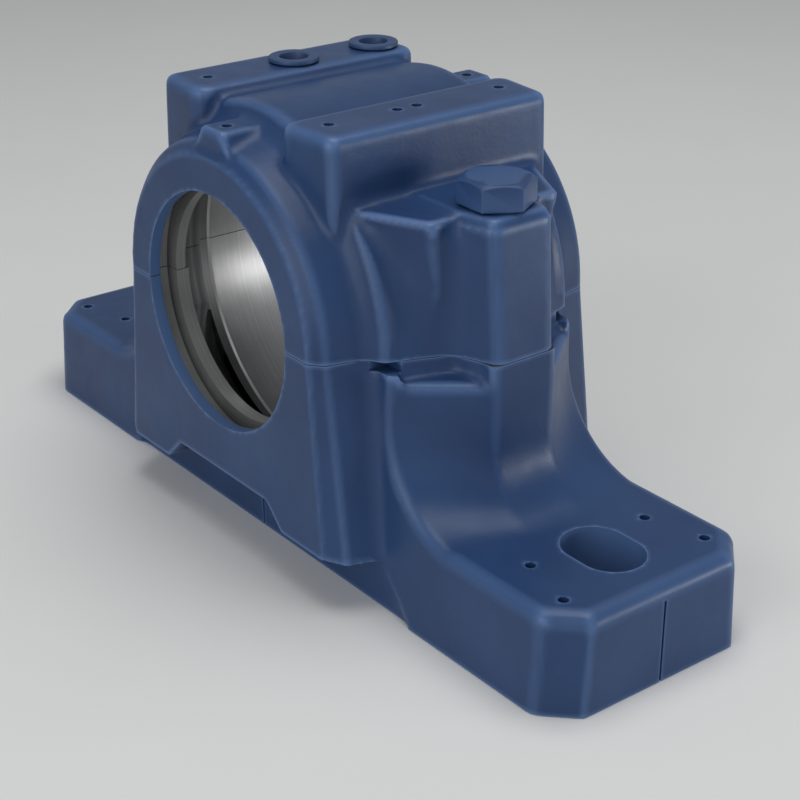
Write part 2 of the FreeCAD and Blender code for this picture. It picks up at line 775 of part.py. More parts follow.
def build_bolt(label, side):
    """Hexagon bolt that clamps the cap, drawn from the underside of its head."""
    body = new_body(label)
    sketch = new_sketch(body, "HeadPlan", "XY_Plane", "washer_face_height")
    half, corner = "bolt_flats / 2", "bolt_flats / sqrt(3)"
    outline(sketch, [
        (corner, "0"), (f"{corner} / 2", half), (f"-{corner} / 2", half),
        (f"-{corner}", "0"), (f"-{corner} / 2", f"-{half}"), (f"{corner} / 2", f"-{half}"),
    ])
    bind(feature(body, "Pad", "Head", sketch), Length="head_height - washer_face_height")
    doc.recompute()
    sketch = new_sketch(body, "HeadCrown", "XZ_Plane")
    drop = "(bolt_flats / sqrt(3) - crown_diameter / 2) * tan(30 deg)"
    outline(sketch, [
        ("crown_diameter / 2", "head_height"),
        ("bolt_flats / sqrt(3)", f"head_height - {drop}"),
        ("bolt_flats", f"head_height - {drop}"),
        ("bolt_flats", "head_height + run_out"),
        ("crown_diameter / 2", "head_height + run_out"),
    ])
    feature(body, "Groove", "Crown", sketch, ReferenceAxis=(sketch, ["V_Axis"]), Angle=360)
    sketch = new_sketch(body, "WasherFacePlan", "XY_Plane")
    circle(sketch, "0", "0", "washer_face_diameter")
    bind(feature(body, "Pad", "WasherFace", sketch), Length="washer_face_height + thread_clearance")
    sketch = new_sketch(body, "ShankPlan", "XY_Plane")
    circle(sketch, "0", "0", "bolt_diameter")
    bind(feature(body, "Pad", "Shank", sketch, Reversed=True), Length="bolt_length")
    end = value("bolt_length")
    dress(body, "Chamfer", "ShankEnd", "shank_chamfer", lambda p: near(p.z, -end))
    body.Placement = FreeCAD.Placement(
        Vector(), FreeCAD.Rotation(Vector(0, 0, 1), value("bolt_turn")))
    bind(body, **{
        "Placement.Base.x": f"{side}(bolt_spacing / 2)",
        "Placement.Base.z": "axis_height + wing_height + boss_rise",
    })
    return body


def build_dowel(label, side):
    """Parallel pin, half of it in the base and half in the cap."""
    body = new_body(label)
    sketch = new_sketch(body, "PinPlan", "XY_Plane")
    circle(sketch, "0", "0", "dowel_diameter")
    bind(feature(body, "Pad", "Pin", sketch, SideType="Symmetric"), Length="dowel_length")
    end = value("dowel_length / 2")
    dress(body, "Chamfer", "PinEnds", "dowel_chamfer", lambda p: near(abs(p.z), end))
    other = "" if side == "-" else "-"
    bind(body, **{
        "Placement.Base.x": f"{side}dowel_offset",
        "Placement.Base.y": f"{other}dowel_side",
        "Placement.Base.z": "axis_height",
    })
    return body


def build_plug(label, along):
    """Flanged plug of a lubrication hole, hollow from above."""
    body = new_body(label)
    sketch = new_sketch(body, "PlugProfile", "XZ_Plane")
    outline(sketch, [
        ("0", "-plug_shank_length"),
        ("plug_shank_diameter / 2 - plug_tip", "-plug_shank_length"),
        ("plug_shank_diameter / 2", "-plug_shank_length + plug_tip"),
        ("plug_shank_diameter / 2", "0"),
        ("plug_neck_diameter / 2", "0"),
        ("plug_neck_diameter / 2", "plug_neck_height"),
        ("plug_flange_diameter / 2 - plug_edge", "plug_neck_height"),
        ("plug_flange_diameter / 2", "plug_neck_height + plug_edge"),
        ("plug_flange_diameter / 2", "plug_neck_height + plug_flange_height - plug_edge"),
        ("plug_flange_diameter / 2 - plug_edge", "plug_neck_height + plug_flange_height"),
        ("plug_recess_diameter / 2 + plug_edge", "plug_neck_height + plug_flange_height"),
        ("plug_recess_diameter / 2", "plug_neck_height + plug_flange_height - plug_edge"),
        ("plug_recess_diameter / 2 - plug_edge",
         "plug_neck_height + plug_flange_height - plug_recess_depth"),
        ("0", "plug_neck_height + plug_flange_height - plug_recess_depth"),
    ])
    feature(body, "Revolution", "Plug", sketch, ReferenceAxis=(sketch, ["V_Axis"]), Angle=360)
    bind(body, **{
        "Placement.Base.x": "-plug_offset",
        "Placement.Base.y": along,
        "Placement.Base.z": "axis_height + shoulder_height",
    })
    return body


pieces = [
    build_base(),
    build_cap(),
    build_bolt("cap_bolt_right", ""),
    build_bolt("cap_bolt_left", "-"),
    build_dowel("dowel_pin_front", ""),
    build_dowel("dowel_pin_rear", "-"),
    build_plug("lubrication_plug_centre", "0"),
    build_plug("lubrication_plug_side", "plug_side"),
]
doc.recompute()

for item in doc.Objects:
    if "Invalid" in item.State or "Error" in item.State:
        raise RuntimeError(f"{item.Name} ({item.Label}) could not be built: {item.getStatusString()}")
for piece in pieces:
    if piece.Shape.isNull() or not piece.Shape.isValid() or len(piece.Shape.Solids) != 1:
        raise RuntimeError(f"{piece.Label} is not one sound solid")

os.makedirs("parts", exist_ok=True)
for piece in pieces:
    piece.Shape.exportStep(f"parts/{piece.Label}.step")
    print(piece.Label, round(piece.Shape.Volume / 1000, 2), "cm3")
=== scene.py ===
# %% [markdown]
# # A split plummer block
# The object is an empty two-part bearing housing of cast iron, painted a satin blue.
# Its shaft opening, seal grooves and bearing seat are turned after the paint.
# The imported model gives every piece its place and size, in metres, with Z up.

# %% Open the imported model
import bmesh
import bpy
import math
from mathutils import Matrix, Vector


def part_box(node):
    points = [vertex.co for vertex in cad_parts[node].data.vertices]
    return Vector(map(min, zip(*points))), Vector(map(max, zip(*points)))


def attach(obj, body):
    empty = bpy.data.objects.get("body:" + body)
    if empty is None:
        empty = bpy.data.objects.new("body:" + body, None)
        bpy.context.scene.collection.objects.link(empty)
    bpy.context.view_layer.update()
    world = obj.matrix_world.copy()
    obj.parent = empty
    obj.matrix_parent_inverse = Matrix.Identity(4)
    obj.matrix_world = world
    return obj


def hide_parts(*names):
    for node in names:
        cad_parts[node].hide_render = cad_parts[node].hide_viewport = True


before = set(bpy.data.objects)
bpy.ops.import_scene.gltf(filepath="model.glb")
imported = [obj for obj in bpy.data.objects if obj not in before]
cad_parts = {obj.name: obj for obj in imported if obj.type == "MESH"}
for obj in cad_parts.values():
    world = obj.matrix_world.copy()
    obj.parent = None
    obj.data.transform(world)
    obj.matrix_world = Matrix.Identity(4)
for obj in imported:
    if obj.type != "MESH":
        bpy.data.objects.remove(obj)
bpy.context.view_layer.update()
MM = 0.001
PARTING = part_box("base_casting")[1].z
print("pieces:", sorted(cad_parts))
print("axis and parting plane at", round(PARTING / MM, 1), "mm")

# %% [markdown]
# ## The camera
# The photograph was taken from the right and above, from about half a metre away. So near,
# the front foot looks clearly larger than the far one, and the distance matters as much as
# the angle. Both were fitted to corners of the housing whose places are known. The camera
# comes first.

# %% Set the camera
bpy.ops.object.select_all(action="DESELECT")
eye = Vector((385.34, -282.75, 257.74)) * MM
aim = Vector((-143.84, 128.21, -61.34)) * MM
turn = (aim - eye).to_track_quat("-Z", "Y").to_euler()
bpy.ops.object.camera_add(location=eye, rotation=turn)
camera = bpy.context.object
camera.name = "photo_camera"
camera.data.lens = 81.0
camera.data.sensor_width = 36.0
camera.data.clip_start = 0.02
bpy.context.scene.camera = camera
print("camera distance", round(eye.length / MM), "mm to the middle of the base")

# %% [markdown]
# ## Casting forms
# Sand cast iron has no sharp inner corner: where two walls meet, the pattern carries a
# fillet of a few millimetres, and every outer edge is broken too. Rounding each edge by
# hand fails where five forms run together, so the castings are made as they come from
# the mould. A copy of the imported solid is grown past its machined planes, its machined
# holes are filled, and a fine voxel skin is laid over it and smoothed. The machined
# places are cut into that skin afterwards, as on the real casting, and stay crisp.

# %% Select, settle and apply
def activate(piece, *others):
    """Select a piece and others beside it, and make the first the active one."""
    bpy.ops.object.select_all(action="DESELECT")
    for each in (piece, *others):
        each.select_set(True)
    bpy.context.view_layer.objects.active = piece


def choose_faces(piece, wanted):
    """In edit mode, select the faces whose middle and normal pass a test."""
    bpy.ops.mesh.select_mode(type="FACE")
    bpy.ops.mesh.select_all(action="DESELECT")
    shape = bmesh.from_edit_mesh(piece.data)
    for face in shape.faces:
        face.select_set(wanted(face.calc_center_median(), face.normal))
    bmesh.update_edit_mesh(piece.data)


def settle(piece):
    """Put a piece's place, turn and scale into its mesh, so that its object is at the origin."""
    activate(piece)
    bpy.ops.object.transform_apply(location=True, rotation=True, scale=True)
    return piece


def apply_modifier(piece, kind, **settings):
    """Add one modifier with its settings and apply it."""
    activate(piece)
    made = piece.modifiers.new(kind.title(), kind)
    for key, setting in settings.items():
        setattr(made, key, setting)
    bpy.ops.object.modifier_apply(modifier=made.name)


# %% [markdown]
# A lathe gives most tools and pieces here. A turned shape starts as a disc, which is pulled
# out from station to station and widened or narrowed at each, like a profile that is turned.

# %% Blocks and turned shapes
def block(low, high):
    """A box from its lowest to its highest corner, in millimetres."""
    low, high = Vector(low) * MM, Vector(high) * MM
    bpy.ops.mesh.primitive_cube_add(size=1, location=(low + high) / 2)
    bpy.context.object.scale = high - low
    return settle(bpy.context.object)


def turned(stations, x=0.0, y=0.0, along="Z", sides=48, spin=0.0):
    """A shape turned about an upright line, or about the shaft's axis.

    Each station is the place along the line and the radius there, in millimetres.
    """
    first, *others = [(place * MM, radius * MM) for place, radius in stations]
    bpy.ops.mesh.primitive_circle_add(
        vertices=sides, radius=first[1], fill_type="NGON", location=(0, 0, first[0]))
    shape = settle(bpy.context.object)
    bpy.ops.object.mode_set(mode="EDIT")
    bpy.ops.mesh.select_all(action="SELECT")
    last = first
    for place, radius in others:
        bpy.ops.mesh.extrude_region_move(
            TRANSFORM_OT_translate={"value": (0, 0, place - last[0])})
        bpy.ops.transform.resize(
            value=(radius / last[1], radius / last[1], 1), center_override=(0, 0, place))
        last = (place, radius)
    bpy.ops.mesh.select_all(action="SELECT")
    bpy.ops.mesh.normals_make_consistent(inside=False)
    bpy.ops.object.mode_set(mode="OBJECT")
    if along == "Y":
        shape.rotation_euler = (math.pi / 2, 0, 0)
        shape.location = (0, 0, PARTING)
    else:
        shape.rotation_euler = (0, 0, math.radians(spin))
        shape.location = (x * MM, y * MM, 0)
    return settle(shape)


# %% [markdown]
# Apart from the bore, a casting's holes are cut in one go: their tools are joined first,
# so they stand clear of each other, and the cut leaves the casting closed.

# %% Join pieces, and cut with a tool
def join(pieces):
    """Make one object of several."""
    activate(*pieces)
    bpy.ops.object.join()
    return pieces[0]


def work_with(piece, tool, operation="DIFFERENCE"):
    """Cut, join or keep the overlap with a tool's shape, and clear the tool away."""
    apply_modifier(piece, "BOOLEAN", object=tool, operation=operation, solver="EXACT")
    bpy.data.objects.remove(tool)


# %% [markdown]
# The grown planes are the parting plane and, on the base, the underside. Growing them
# past the cut by a few millimetres keeps the smoothing away from edges that a mill left
# sharp. Outer edges of a casting are only broken, but its inner corners carry fillets
# several times as large. So the whole skin is smoothed a little, and a trial copy is
# smoothed far more: a point follows the copy only where that moves it outwards. At the
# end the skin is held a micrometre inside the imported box.

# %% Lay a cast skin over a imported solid
VOXEL = 1.0 * MM
GROWTH = 8 * MM
SLIP = 0.001 * MM
LIGHT_ROUNDS, FILLET_ROUNDS, LAST_ROUNDS = 1, 9, 1


def duplicate(piece, name):
    """A second object with its own mesh."""
    other = bpy.data.objects.new(name, piece.data.copy())
    bpy.context.scene.collection.objects.link(other)
    return other


def fill_corners(piece, rounds, chosen=lambda place: True):
    """Smooth a trial copy, and follow it at the chosen places only where it moves outwards."""
    trial = duplicate(piece, "trial")
    apply_modifier(trial, "SMOOTH", factor=0.5, iterations=rounds)
    normals = [point.normal.copy() for point in piece.data.vertices]
    for point, moved, normal in zip(piece.data.vertices, trial.data.vertices, normals):
        if chosen(point.co / MM):
            point.co += normal * max((moved.co - point.co).dot(normal), 0)
    bpy.data.objects.remove(trial)


def soften(piece):
    """Break the outer edges, and fill the inner corners with the pattern's fillets."""
    apply_modifier(piece, "SMOOTH", factor=0.5, iterations=LIGHT_ROUNDS)
    fill_corners(piece, FILLET_ROUNDS)
    apply_modifier(piece, "SMOOTH", factor=0.5, iterations=LAST_ROUNDS)


def cast_skin(node, name, planes, fills):
    """A smooth cast copy of a node; planes are the height and direction of machined faces."""
    piece = duplicate(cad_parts[node], name)
    activate(piece)
    bpy.ops.object.mode_set(mode="EDIT")
    bpy.ops.mesh.select_all(action="SELECT")
    bpy.ops.mesh.remove_doubles(threshold=1e-6)
    for height, direction in planes:
        choose_faces(piece, lambda middle, normal: (
            abs(middle.z - height) < 1e-5 and normal.z * direction > 0.99))
        bpy.ops.mesh.extrude_region_move(
            TRANSFORM_OT_translate={"value": (0, 0, GROWTH * direction)})
    bpy.ops.object.mode_set(mode="OBJECT")
    join([piece, *fills])
    apply_modifier(piece, "REMESH", mode="VOXEL", voxel_size=VOXEL, use_smooth_shade=True)
    soften(piece)
    low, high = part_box(node)
    for point in piece.data.vertices:
        point.co.x = min(max(point.co.x, low.x + SLIP), high.x - SLIP)
        point.co.y = min(max(point.co.y, low.y + SLIP), high.y - SLIP)
    return piece


# %% [markdown]
# A mill faces the castings at the parting plane and the underside. A boring bar then turns
# the opening through both, alike from either end, so half of its profile is all that has to
# be drawn. Only the inner face of the end wall is as cast, and stands elsewhere in the cap.

# %% Mill and bore
def mill(piece, height, direction):
    """Face a piece off at a height, keeping what lies against the direction."""
    activate(piece)
    bpy.ops.object.mode_set(mode="EDIT")
    bpy.ops.mesh.select_all(action="SELECT")
    bpy.ops.mesh.bisect(plane_co=(0, 0, height), plane_no=(0, 0, direction),
                        use_fill=True, clear_outer=True, threshold=1e-7)
    bpy.ops.object.mode_set(mode="OBJECT")


def bore_fill():
    """Round plugs that close the shaft opening and the cavity before the skin is laid."""
    return [turned([(-reach, radius), (reach, radius)], along="Y", sides=96)
            for reach, radius in ((47, 40), (36, 46), (29, 52))]


def bore_profile(wall):
    """Half of the bore: opening, seal groove, end wall, cavity, relief and bearing seat.

    Each station is the distance from the middle and the radius there, in millimetres, and
    the wall is the distance of the end wall's inner face.
    """
    return [(50, 35.2), (48, 33.7), (46.7, 33.4), (43.7, 33.4), (43.7, 38), (38.8, 38),
            (38.4, 38), (38.4, 33.4), (wall, 33.4), (wall, 42), (28, 47), (22, 47),
            (22, 50.5), (17.4, 50.5), (16.75, 50), (0, 50)]


def bore_tool(wall):
    """The turning of the bore, drawn from one mouth through to the other."""
    half = bore_profile(wall)[:-1]
    return turned(half + [(-place, radius) for place, radius in reversed(half)],
                  along="Y", sides=192)


# %% [markdown]
# ## The base
# The base is one casting: two feet, swept flanks that rise to the bolt bosses, and two
# flaring columns under the collars. Milled or drilled afterwards are its underside, the
# parting plane, the bolt and dowel holes, the slots that take a pry bar, and the drill
# marks and scribed lines that the fitter measures from. The foot slots have crisp rims,
# so they are cut late too. Before the skin is laid, each of these is filled a little wider
# than it is, or the skin would round its edges.

# %% Plan the base's holes
SLOT_X, SLOT_LONG, SLOT_WIDE, FOOT_TOP = 105.0, 24.0, 18.0, 28.0
BOLT_X, DOWEL_X, DOWEL_Y = 60.8, 52.6, -24.0
SUMP_START, SUMP_END, SUMP_RADIUS, SUMP_DROP = 22, 30, 44, 13
TAPPED_HOLE, REAMED_HOLE, SCRIBED_LINE = 6.05, 2.52, 0.4
FOOT_MARKS = [(side * x, hand * y) for side in (1, -1) for hand in (1, -1)
              for x, y in ((99.8, 19.9), (116.8, 24.4))]
GAP = 0.1 * MM
UNDERSIDE = 0.01 * MM
print("slots:", 2 * SLOT_X, "mm apart; cap bolts:", 2 * BOLT_X, "mm apart")


def lowered(tool):
    """Move a turned tool down to the sump's own centre line."""
    tool.location.z = -SUMP_DROP * MM
    return settle(tool)


def about(x, y, half_x, half_y, low_z, high_z):
    """A block round an upright line."""
    return block((x - half_x, y - half_y, low_z), (x + half_x, y + half_y, high_z))


# %% Shape the base
fills = bore_fill()
fills.append(lowered(turned([(-30.5, 45.5), (30.5, 45.5)], along="Y", sides=96)))
for side in (1, -1):
    fills.append(turned([(38, 7), (78, 7)], x=side * BOLT_X))
    fills.append(turned([(58, 2.8), (78, 2.8)], x=side * DOWEL_X, y=side * DOWEL_Y))
    fills.append(about(side * SLOT_X, 0, 13, 10.5, -8, FOOT_TOP))
    fills.append(about(side * 125.5, 0, 2, 2, -8, 23.5))
    fills.append(about(0, side * 31.4, 2, 2, -8, 14.5))
    for hand in (1, -1):
        fills.append(about(side * 52.4, hand * 27.4, 3, 2, 60, 78))
fills += [turned([(24, 2.4), (FOOT_TOP, 2.4)], x=x, y=y) for x, y in FOOT_MARKS]
base = cast_skin("base_casting", "base", [(PARTING, 1), (0, -1)], fills)
mill(base, PARTING - GAP, 1)
mill(base, UNDERSIDE, -1)
print("base skin:", len(base.data.polygons), "faces")

# %% Tools for slots and drill marks
def slot_tool(x):
    """A round bar drawn out to the slot's length."""
    tool = turned([(-5, SLOT_WIDE / 2), (FOOT_TOP + 2, SLOT_WIDE / 2)], x=x, sides=64)
    bpy.ops.object.mode_set(mode="EDIT")
    reach = (SLOT_LONG - SLOT_WIDE) / 2 * MM
    for way in (1, -1):
        bpy.ops.mesh.select_mode(type="VERT")
        bpy.ops.mesh.select_all(action="DESELECT")
        shape = bmesh.from_edit_mesh(tool.data)
        for corner in shape.verts:
            corner.select_set((corner.co.x - x * MM) * way > 1e-6)
        bpy.ops.transform.translate(value=(way * reach, 0, 0))
    bpy.ops.object.mode_set(mode="OBJECT")
    return tool


def mark_tool(x, y, top):
    """A drill point that leaves a round dimple with a conical bottom."""
    return turned([(top - 2.6, 0.05), (top - 1.7, 1.45), (top + 1, 1.45)], x=x, y=y, sides=24)


# %% Machine the base
BASE_WALL = 34.4

work_with(base, bore_tool(BASE_WALL))
tools = [mark_tool(x, y, FOOT_TOP) for x, y in FOOT_MARKS]
for side in (1, -1):
    tools.append(slot_tool(side * SLOT_X))
    tools.append(turned([(42, TAPPED_HOLE), (72, TAPPED_HOLE)], x=side * BOLT_X))
    tools.append(turned([(61.5, REAMED_HOLE), (72, REAMED_HOLE)], x=side * DOWEL_X, y=side * DOWEL_Y))
    tools.append(about(side * 127.5, 0, 0.8, SCRIBED_LINE, -1, 23.5))
    tools.append(about(0, side * 34, SCRIBED_LINE, 1.4, -1, 18.3))
    for hand in (1, -1):
        tools.append(about(side * 56, hand * 31.3, 5.5, 4.7, 67, 72))
    ends = sorted((side * SUMP_START, side * SUMP_END))
    tools.append(lowered(turned([(end, SUMP_RADIUS) for end in ends], along="Y", sides=128)))
work_with(base, join(tools))
print("base machined:", len(base.data.polygons), "faces")

# %% [markdown]
# ## The cap
# The cap carries the crown, two shoulders and a wing on each side for its bolt. A small
# flat pad with a drill mark stands on top of each collar. Nothing is cast on the crown.
# Beside each wing the flank sweeps in to the collar, and it comes forward as it rises. So
# in each quadrant two leaning blocks are stacked under the skin there. The valley between
# them and the collar is then filled, and the wing's front is smoothed until it flows.

# %% Plan the cap's heights, holes and sweeps
WING_TOP, SHOULDER_TOP, PAD_TOP = 107.8, 125.8, 121.0
LOW_PLAN = [(51, 29.9), (50, 12), (57, 12), (57.6, 18.4)]
MID_PLAN = [(47.3, 30.8), (44, 12), (60, 12), (60.4, 17.9)]
HIGH_PLAN = [(40.6, 31), (38, 12), (60, 12), (61, 21)]
SWEEPS = [(LOW_PLAN, MID_PLAN, 69, 88), (MID_PLAN, HIGH_PLAN, 87, WING_TOP - 0.9)]
SWEEP_TOP, VALLEY_ROUNDS, SWEEP_ROUNDS = 103, 70, 20
CLEAR_HOLE, GREASE_HOLE, GREASE_THREAD = 6.75, 2.5, 4.9
PLUGS = [(-27.5, 0.0), (-27.5, 28.0)]
CAP_MARKS = [(28.3, -28.1, SHOULDER_TOP), (28.3, -6.4, SHOULDER_TOP), (28.3, 0, SHOULDER_TOP),
             (28.3, 28.1, SHOULDER_TOP), (-28.3, -28.1, SHOULDER_TOP),
             (0, 40.5, PAD_TOP), (0, -40.5, PAD_TOP)]


def wedge(low, high, low_z, high_z):
    """A block whose four upright edges lean: the corners of its plan in turn, at two heights."""
    shape = block((-1, -1, -1), (1, 1, 1))
    order = {(False, False): 0, (False, True): 1, (True, True): 2, (True, False): 3}
    for point in shape.data.vertices:
        plan, height = (high, high_z) if point.co.z > 0 else (low, low_z)
        x, y = plan[order[point.co.x > 0, point.co.y > 0]]
        point.co = Vector((x, y, height)) * MM
    activate(shape)
    bpy.ops.object.mode_set(mode="EDIT")
    bpy.ops.mesh.select_all(action="SELECT")
    bpy.ops.mesh.normals_make_consistent(inside=False)
    bpy.ops.object.mode_set(mode="OBJECT")
    return shape


def in_valley(place):
    """Whether a place in millimetres lies between a wing and a collar."""
    return 38 < abs(place.x) < 64 and 13 < abs(place.y) < 29.5 and place.z < SWEEP_TOP


def on_sweep(place):
    """Whether a place in millimetres lies on the swept front of a wing."""
    return 48 < abs(place.x) < 66.5 and 10.5 < abs(place.y) < 26 and place.z < SWEEP_TOP


print("drill marks:", len(FOOT_MARKS), "on the feet and", len(CAP_MARKS), "on the cap")

# %% Shape the cap
fills = bore_fill()
for side in (1, -1):
    fills.append(turned([(62, 8), (WING_TOP, 8)], x=side * BOLT_X))
    fills.append(turned([(62, 2.8), (79, 2.8)], x=side * DOWEL_X, y=side * DOWEL_Y))
    for hand in (1, -1):
        for low, high, low_z, high_z in SWEEPS:
            low, high = ([(side * x, hand * y) for x, y in plan] for plan in (low, high))
            fills.append(wedge(low, high, low_z, high_z))
fills += [turned([(95, 6.5), (SHOULDER_TOP, 6.5)], x=x, y=y) for x, y in PLUGS]
fills += [turned([(top - 4, 2.2), (top, 2.2)], x=x, y=y) for x, y, top in CAP_MARKS]
cap = cast_skin("cap_casting", "cap", [(PARTING, -1)], fills)
fill_corners(cap, VALLEY_ROUNDS, in_valley)
sweep = cap.vertex_groups.new(name="sweep")
sweep.add([point.index for point in cap.data.vertices if on_sweep(point.co / MM)], 1.0, "REPLACE")
apply_modifier(cap, "SMOOTH", factor=0.5, iterations=SWEEP_ROUNDS, vertex_group="sweep")
cap.vertex_groups.clear()
mill(cap, PARTING + GAP, -1)
print("cap skin:", len(cap.data.polygons), "faces")

# %% Machine the cap
CAP_WALL = 35.4

work_with(cap, bore_tool(CAP_WALL))
tools = [mark_tool(*place) for place in CAP_MARKS]
for side in (1, -1):
    tools.append(turned([(60, CLEAR_HOLE), (WING_TOP + 2, CLEAR_HOLE)], x=side * BOLT_X))
    tools.append(turned([(60, REAMED_HOLE), (78.5, REAMED_HOLE)], x=side * DOWEL_X, y=side * DOWEL_Y))
for x, y in PLUGS:
    tools.append(turned([(98, GREASE_HOLE), (SHOULDER_TOP - 8.5, GREASE_HOLE),
                         (SHOULDER_TOP - 8.5, GREASE_THREAD), (SHOULDER_TOP + 2, GREASE_THREAD)],
                        x=x, y=y))
work_with(cap, join(tools))
print("cap machined:", len(cap.data.polygons), "faces")

# %% [markdown]
# ## The cap bolts
# Each bolt is forged: a hexagon head with a turned, chamfered crown on a round washer
# face. A six-sided bar is drawn, a cone-topped round bar is laid over it, and only the
# overlap is kept, which leaves the curved edges under the crown as on the real head.
# The paint rounds every edge a little, so the head gets a narrow bevel.

# %% Forge one bolt and copy it
FLATS, CROWN, HEAD_TOP, HEAD_TURN = 18.0, 17.1, WING_TOP + 7.5, 29
SHANK, TIP, WASHER_FACE = 6.0, WING_TOP - 59.8, 8.3


def cap_bolt(name, x):
    """A painted hexagon bolt whose head stands on the wing."""
    corner = FLATS / math.sqrt(3)
    head = turned([(WING_TOP + 0.6, corner), (HEAD_TOP, corner)], x=x, sides=6, spin=HEAD_TURN)
    wide = corner + 1
    drop = (wide - CROWN / 2) * math.tan(math.radians(30))
    work_with(head, turned([(WING_TOP, wide), (HEAD_TOP - drop, wide), (HEAD_TOP, CROWN / 2)],
                           x=x, sides=96), "INTERSECT")
    work_with(head, turned([(TIP, SHANK - 1), (TIP + 1, SHANK), (WING_TOP, SHANK),
                            (WING_TOP, WASHER_FACE), (WING_TOP + 1, WASHER_FACE)],
                           x=x, sides=96), "UNION")
    apply_modifier(head, "BEVEL", width=0.22 * MM, segments=3, limit_method="ANGLE",
                   angle_limit=math.radians(20))
    head.name = head.data.name = name
    return head


bolt_right = cap_bolt("bolt_right", BOLT_X)
bolt_left = duplicate(bolt_right, "bolt_left")
bolt_left.location.x = -2 * BOLT_X * MM
settle(bolt_left)
print("bolt:", len(bolt_right.data.polygons), "faces")

# %% [markdown]
# ## The lubrication plugs
# Two moulded plugs close the threaded grease holes: a thin flange with a soft rim, and a
# deep round recess that a key turns. Each is one turned profile from the tip of the
# shank round to the bottom of the recess.

# %% Mould the plugs
def grease_plug(name, x, y):
    """A hollow flanged plug, turned about an upright line."""
    top = SHOULDER_TOP + 1.6
    plug = turned([(SHOULDER_TOP - 8, 4.15), (SHOULDER_TOP - 7.3, 4.85), (SHOULDER_TOP, 4.85),
                   (SHOULDER_TOP, 6), (SHOULDER_TOP + 0.3, 6), (SHOULDER_TOP + 0.3, 6.9),
                   (SHOULDER_TOP + 0.55, 7.2), (top - 0.35, 7.2), (top - 0.1, 7.05), (top, 6.8),
                   (top, 4.6), (top - 0.15, 4.25), (top - 0.5, 4.1), (top - 6, 3.7)],
                  x=x, y=y, sides=64)
    plug.name = plug.data.name = name
    return plug


plug_centre = grease_plug("plug_centre", *PLUGS[0])
plug_side = grease_plug("plug_side", *PLUGS[1])
print("plug:", len(plug_centre.data.polygons), "faces")

# %% [markdown]
# ## Who stands for whom
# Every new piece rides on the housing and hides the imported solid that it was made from.
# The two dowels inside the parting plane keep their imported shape.

# %% Ride and replace
for piece, node in ((base, "base_casting"), (cap, "cap_casting"),
                    (bolt_right, "cap_bolt_right"), (bolt_left, "cap_bolt_left"),
                    (plug_centre, "lubrication_plug_centre"), (plug_side, "lubrication_plug_side")):
    activate(piece)
    bpy.ops.object.shade_smooth_by_angle(angle=math.radians(32))
    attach(piece, "root")
    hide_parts(node)
    print(piece.name, "stands for", node)

# %% [markdown]
# ## Finishes
# A material starts from one shader and grows by nodes. One helper adds a node with its
# values and links, another turns a colour as painters write it into linear light. A Mix
# node has a set of sockets for each kind of value under the same names, so the two colours
# that it mixes, and the mixed one, are called by their place.

# %% Helpers for finishes
def rgb(code):
    """An sRGB hex colour as the linear values that a shader takes."""
    parts = [int(code[i:i + 2], 16) / 255 for i in (1, 3, 5)]
    return (*[p / 12.92 if p <= 0.04045 else ((p + 0.055) / 1.055) ** 2.4 for p in parts], 1.0)


FIRST, SECOND, MIXED = 6, 7, 2


def add(tree, kind, links, settings):
    """Add one node, set its properties and its sockets by name or place, and link its inputs."""
    node = tree.nodes.new("ShaderNode" + kind)
    for name, setting in settings.items():
        if isinstance(name, int) or name in node.inputs:
            node.inputs[name].default_value = setting
        else:
            setattr(node, name, setting)
    for name, source in links.items():
        tree.links.new(source, node.inputs[name])
    return node


def finish(name, **values):
    """A new material with its shader's own sockets set."""
    material = bpy.data.materials.new(name)
    material.use_nodes = True
    shader = material.node_tree.nodes["Principled BSDF"]
    for socket, setting in values.items():
        shader.inputs[socket.replace("_", " ")].default_value = setting
    return material, material.node_tree, shader


def per_mm(size):
    """The scale of a noise whose grains are so many millimetres wide."""
    return 1 / (size * MM)
